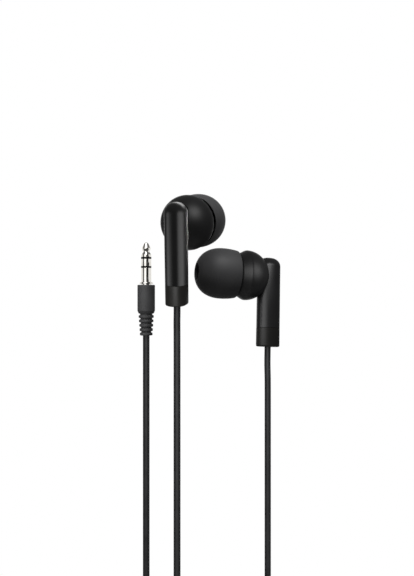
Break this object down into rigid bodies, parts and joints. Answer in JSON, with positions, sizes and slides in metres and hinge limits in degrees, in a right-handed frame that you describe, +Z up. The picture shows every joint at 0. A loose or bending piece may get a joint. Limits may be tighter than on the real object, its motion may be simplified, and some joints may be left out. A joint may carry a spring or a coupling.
{
  "type": "wired earphones",
  "caption": "In-ear wired earphones: round housings with arched stems and silicone tips, thin leads joining at a Y-split, and a long lead to a straight 3.5 mm stereo plug.",
  "frame": {"origin": "nose of the left ear tip, where the ear canal holds it", "axes": "+Z up with the stems and leads hanging down, +Y away from the viewer of the left bud's outer side"},
  "size_m": [0.0452, 0.0472, 0.1689],
  "materials": {
    "matte_abs": "fine matte moulded ABS",
    "satin_abs": "satin moulded ABS",
    "silicone": "soft matte silicone",
    "cord_jacket": "satin elastomer jacket",
    "boot_rubber": "fine-grained moulded elastomer",
    "tie_plastic": "matte",
    "nickel": "polished nickel plate",
    "insulator": "black moulded ring",
    "steel_mesh": "woven steel",
    "driver_plastic": "moulded",
    "soft_iron": "zinc-plated",
    "copper": "enamelled copper wire",
    "film": "formed polymer film",
    "board": "solder-masked board"
  },
  "bodies": {
    "headset": {"left_front_shell": "matte_abs", "left_rear_cup": "matte_abs", "left_stem_shell": "satin_abs", "left_strain_relief": "satin_abs", "left_nozzle_mesh": "steel_mesh", "left_driver_frame": "driver_plastic", "left_driver_yoke": "soft_iron", "left_driver_pole_plate": "soft_iron", "left_driver_magnet": "nickel", "left_terminal_board": "board", "left_cord_crimp": "soft_iron", "right_front_shell": "matte_abs", "right_rear_cup": "matte_abs", "right_stem_shell": "satin_abs", "right_strain_relief": "satin_abs", "right_nozzle_mesh": "steel_mesh", "right_driver_frame": "driver_plastic", "right_driver_yoke": "soft_iron", "right_driver_pole_plate": "soft_iron", "right_driver_magnet": "nickel", "right_terminal_board": "board", "right_cord_crimp": "soft_iron", "left_lead": "cord_jacket", "left_lead_coil": "cord_jacket", "left_lead_tail": "cord_jacket", "left_lead_tie": "tie_plastic", "right_lead": "cord_jacket", "right_lead_coil": "cord_jacket", "right_lead_tail": "cord_jacket", "right_lead_tie": "tie_plastic", "main_lead": "cord_jacket", "main_lead_coil": "cord_jacket", "main_lead_tail": "cord_jacket", "main_lead_tie": "tie_plastic", "y_split": "boot_rubber", "plug_boot": "boot_rubber", "plug_tip": "nickel", "plug_ring": "nickel", "plug_sleeve": "nickel", "plug_tip_insulator": "insulator", "plug_ring_insulator": "insulator"},
    "left_tip": {"left_ear_tip": "silicone"},
    "right_tip": {"right_ear_tip": "silicone"},
    "left_cone": {"left_diaphragm": "film", "left_voice_coil": "copper"},
    "right_cone": {"right_diaphragm": "film", "right_voice_coil": "copper"}
  },
  "joints": [
    {"name": "left_tip_pull", "type": "slide", "parent": "headset", "child": "left_tip", "axis": [0.3698, 0.9095, 0.1899], "range_m": [0, 0.0052]},
    {"name": "right_tip_pull", "type": "slide", "parent": "headset", "child": "right_tip", "axis": [-0.9632, -0.2609, 0.0652], "range_m": [0, 0.0052]},
    {"name": "left_cone_travel", "type": "slide", "parent": "headset", "child": "left_cone", "axis": [0.3698, 0.9095, 0.1899], "range_m": [-0.00015, 0.00015], "stiffness_N_per_m": 30},
    {"name": "right_cone_travel", "type": "slide", "parent": "headset", "child": "right_cone", "axis": [-0.9632, -0.2609, 0.0652], "range_m": [-0.00015, 0.00015], "stiffness_N_per_m": 30}
  ]
}
